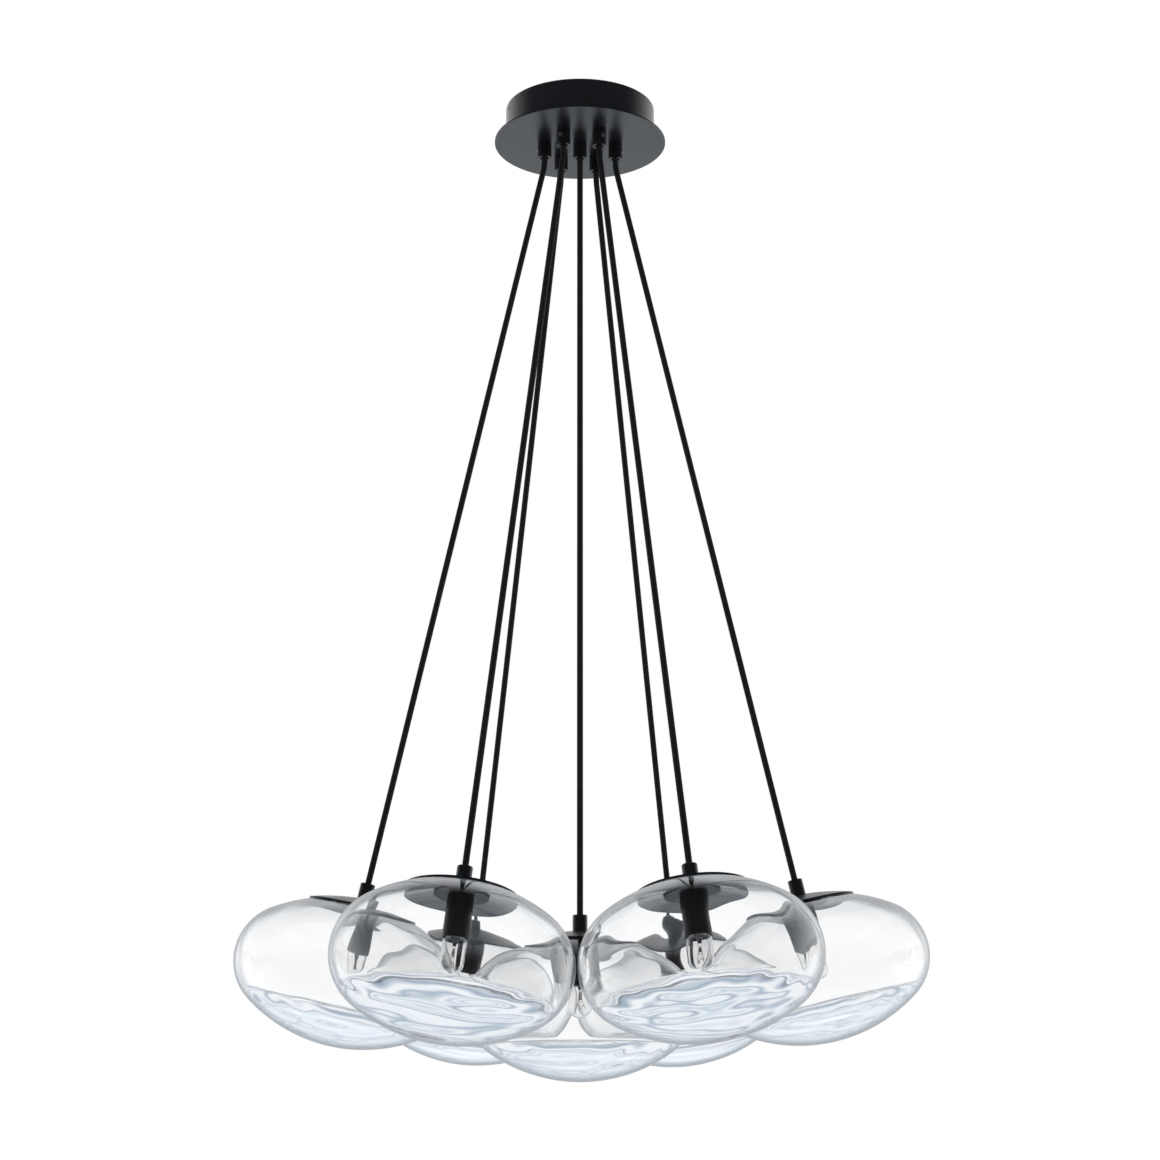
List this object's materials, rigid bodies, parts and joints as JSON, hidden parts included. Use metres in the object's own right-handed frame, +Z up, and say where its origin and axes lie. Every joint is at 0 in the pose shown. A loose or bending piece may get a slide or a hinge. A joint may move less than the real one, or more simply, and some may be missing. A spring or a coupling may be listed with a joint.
{
  "type": "cluster pendant light",
  "caption": "Round black canopy with straight black cords that spread to clear flattened glass globes, each with a cap, lampholder and tubular bulb.",
  "frame": {"origin": "centre of the face that sits on the ceiling, on top of the bracket and level with the drum rim", "axes": "+Z up into the ceiling; -Y is the side the picture is taken from, +X to its right"},
  "size_m": [0.7463, 0.6877, 1.1173],
  "materials": {
    "canopy_black": "satin black powder coat",
    "grip_black": "satin black",
    "cap_black": "satin black spun cap",
    "holder_black": "moulded black lampholder",
    "cord_black": "matte black round flex",
    "clear_glass": "clear blown glass with a thick base",
    "bulb_clear_glass": "thin clear bulb glass",
    "bulb_metal": "bright screw shell",
    "zinc_steel": "zinc plate",
    "screw_black": "blackened",
    "set_screw_steel": "bright",
    "brass": "plain",
    "block_plastic": "moulded"
  },
  "bodies": {
    "canopy": {"canopy_plate": "canopy_black", "canopy_drum": "canopy_black", "ceiling_bracket": "zinc_steel", "side_screws": "screw_black", "plate_screws": "zinc_steel", "earth_screw": "brass", "terminal_block": "block_plastic", "canopy_cord_grips": "grip_black", "grip_lock_nuts": "zinc_steel", "grip_set_screws": "set_screw_steel", "cord_tails": "cord_black"},
    "pendant_right": {"cord_right": "cord_black", "cord_grip_right": "grip_black", "cap_right": "cap_black", "glass_globe_right": "clear_glass", "lampholder_right": "holder_black"},
    "bulb_right": {"bulb_glass_right": "bulb_clear_glass", "bulb_base_right": "bulb_metal"},
    "pendant_back_right": {"cord_back_right": "cord_black", "cord_grip_back_right": "grip_black", "cap_back_right": "cap_black", "glass_globe_back_right": "clear_glass", "lampholder_back_right": "holder_black"},
    "bulb_back_right": {"bulb_glass_back_right": "bulb_clear_glass", "bulb_base_back_right": "bulb_metal"},
    "pendant_back_left": {"cord_back_left": "cord_black", "cord_grip_back_left": "grip_black", "cap_back_left": "cap_black", "glass_globe_back_left": "clear_glass", "lampholder_back_left": "holder_black"},
    "bulb_back_left": {"bulb_glass_back_left": "bulb_clear_glass", "bulb_base_back_left": "bulb_metal"},
    "pendant_left": {"cord_left": "cord_black", "cord_grip_left": "grip_black", "cap_left": "cap_black", "glass_globe_left": "clear_glass", "lampholder_left": "holder_black"},
    "bulb_left": {"bulb_glass_left": "bulb_clear_glass", "bulb_base_left": "bulb_metal"},
    "pendant_front_left": {"cord_front_left": "cord_black", "cord_grip_front_left": "grip_black", "cap_front_left": "cap_black", "glass_globe_front_left": "clear_glass", "lampholder_front_left": "holder_black"},
    "bulb_front_left": {"bulb_glass_front_left": "bulb_clear_glass", "bulb_base_front_left": "bulb_metal"},
    "pendant_front_right": {"cord_front_right": "cord_black", "cord_grip_front_right": "grip_black", "cap_front_right": "cap_black", "glass_globe_front_right": "clear_glass", "lampholder_front_right": "holder_black"},
    "bulb_front_right": {"bulb_glass_front_right": "bulb_clear_glass", "bulb_base_front_right": "bulb_metal"},
    "pendant_centre": {"cord_centre": "cord_black", "cord_grip_centre": "grip_black", "cap_centre": "cap_black", "glass_globe_centre": "clear_glass", "lampholder_centre": "holder_black"},
    "bulb_centre": {"bulb_glass_centre": "bulb_clear_glass", "bulb_base_centre": "bulb_metal"}
  },
  "joints": [
    {"name": "right_swing", "type": "hinge", "parent": "canopy", "child": "pendant_right", "pos_m": [0.04146, 0.00188, -0.0576], "axis": [-0.0224, -0.9997, 0], "range_deg": [0, 20]},
    {"name": "back_right_swing", "type": "hinge", "parent": "canopy", "child": "pendant_back_right", "pos_m": [0.0191, 0.03684, -0.0576], "axis": [0.8878, -0.4602, 0], "range_deg": [0, 20]},
    {"name": "back_left_swing", "type": "hinge", "parent": "canopy", "child": "pendant_back_left", "pos_m": [-0.02236, 0.03496, -0.0576], "axis": [0.8652, 0.5013, 0], "range_deg": [0, 20]},
    {"name": "left_swing", "type": "hinge", "parent": "canopy", "child": "pendant_left", "pos_m": [-0.04146, -0.00188, -0.0576], "axis": [0.0048, 1, 0], "range_deg": [0, 20]},
    {"name": "front_left_swing", "type": "hinge", "parent": "canopy", "child": "pendant_front_left", "pos_m": [-0.0191, -0.03684, -0.0576], "axis": [-0.8604, 0.5096, 0], "range_deg": [0, 20]},
    {"name": "front_right_swing", "type": "hinge", "parent": "canopy", "child": "pendant_front_right", "pos_m": [0.02236, -0.03496, -0.0576], "axis": [-0.8902, -0.4555, 0], "range_deg": [0, 20]},
    {"name": "centre_twist", "type": "hinge", "parent": "canopy", "child": "pendant_centre", "pos_m": [0, 0, -0.0576], "axis": [0, 0, 1], "range_deg": [-45, 45]},
    {"name": "right_bulb_out", "type": "slide", "parent": "pendant_right", "child": "bulb_right", "axis": [0.2234, -0.005, -0.9747], "range_m": [0, 0.019]},
    {"name": "back_right_bulb_out", "type": "slide", "parent": "pendant_back_right", "child": "bulb_back_right", "axis": [0.0996, 0.1921, -0.9763], "range_m": [0, 0.019]},
    {"name": "back_left_bulb_out", "type": "slide", "parent": "pendant_back_left", "child": "bulb_back_left", "axis": [-0.11, 0.1898, -0.9756], "range_m": [0, 0.019]},
    {"name": "left_bulb_out", "type": "slide", "parent": "pendant_left", "child": "bulb_left", "axis": [-0.2191, 0.0011, -0.9757], "range_m": [0, 0.019]},
    {"name": "front_left_bulb_out", "type": "slide", "parent": "pendant_front_left", "child": "bulb_front_left", "axis": [-0.1108, -0.1872, -0.9761], "range_m": [0, 0.019]},
    {"name": "front_right_bulb_out", "type": "slide", "parent": "pendant_front_right", "child": "bulb_front_right", "axis": [0.1004, -0.1963, -0.9754], "range_m": [0, 0.019]},
    {"name": "centre_bulb_out", "type": "slide", "parent": "pendant_centre", "child": "bulb_centre", "axis": [0, 0, -1], "range_m": [0, 0.019]}
  ]
}
